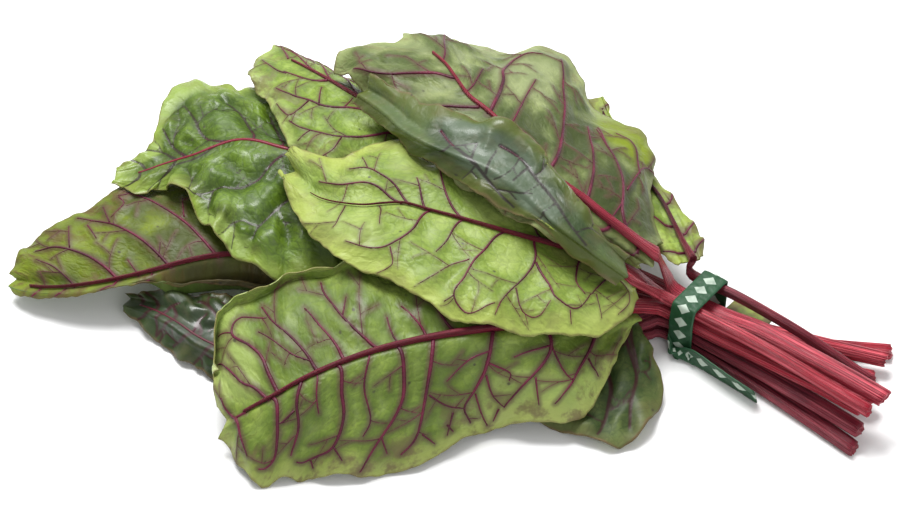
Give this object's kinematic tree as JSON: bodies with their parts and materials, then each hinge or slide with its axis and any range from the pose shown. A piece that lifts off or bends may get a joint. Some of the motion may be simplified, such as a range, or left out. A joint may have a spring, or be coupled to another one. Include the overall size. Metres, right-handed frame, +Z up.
{
  "type": "swiss chard bunch",
  "caption": "Bunch of red-stalked swiss chard lying on its side, with broad waved leaves fanned out and the ribbed stalks held by a paper twist tie.",
  "frame": {"origin": "middle of the bounding box on the table, z = 0 at the table", "axes": "+X along the bunch from the leaf tips to the cut stalks, -Y towards the front leaf, +Z up"},
  "size_m": [0.4104, 0.2916, 0.0886],
  "materials": {
    "left_dark_leaf_green": "waxy leaf skin, blistered between dark red veins",
    "front_dark_leaf_green": "waxy leaf skin, blistered between dark red veins",
    "left_leaf_green": "waxy leaf skin, blistered between dark red veins",
    "crinkled_leaf_green": "waxy leaf skin, blistered between dark red veins",
    "front_leaf_green": "waxy leaf skin, blistered between dark red veins",
    "upper_left_leaf_green": "waxy leaf skin, blistered between dark red veins",
    "right_leaf_green": "waxy leaf skin, blistered between dark red veins",
    "middle_leaf_green": "waxy leaf skin, blistered between dark red veins",
    "top_leaf_green": "waxy leaf skin, blistered between dark red veins",
    "folded_leaf_green": "waxy leaf skin, blistered between dark red veins",
    "stalk_red": "smooth ribbed crimson leaf stalk",
    "tie_paper": "dark green printed paper"
  },
  "bodies": {
    "root": {"left_dark_leaf_blade": "left_dark_leaf_green", "left_dark_leaf_stalk": "stalk_red", "front_dark_leaf_blade": "front_dark_leaf_green", "front_dark_leaf_stalk": "stalk_red", "left_leaf_blade": "left_leaf_green", "left_leaf_stalk": "stalk_red", "crinkled_leaf_blade": "crinkled_leaf_green", "crinkled_leaf_stalk": "stalk_red", "front_leaf_blade": "front_leaf_green", "front_leaf_stalk": "stalk_red", "upper_left_leaf_blade": "upper_left_leaf_green", "upper_left_leaf_stalk": "stalk_red", "right_leaf_blade": "right_leaf_green", "right_leaf_stalk": "stalk_red", "middle_leaf_blade": "middle_leaf_green", "middle_leaf_stalk": "stalk_red", "top_leaf_blade": "top_leaf_green", "top_leaf_stalk": "stalk_red", "folded_leaf_blade": "folded_leaf_green", "folded_leaf_stalk": "stalk_red", "right_leaf_wing_blade": "right_leaf_green", "twist_tie": "tie_paper"}
  },
  "joints": []
}
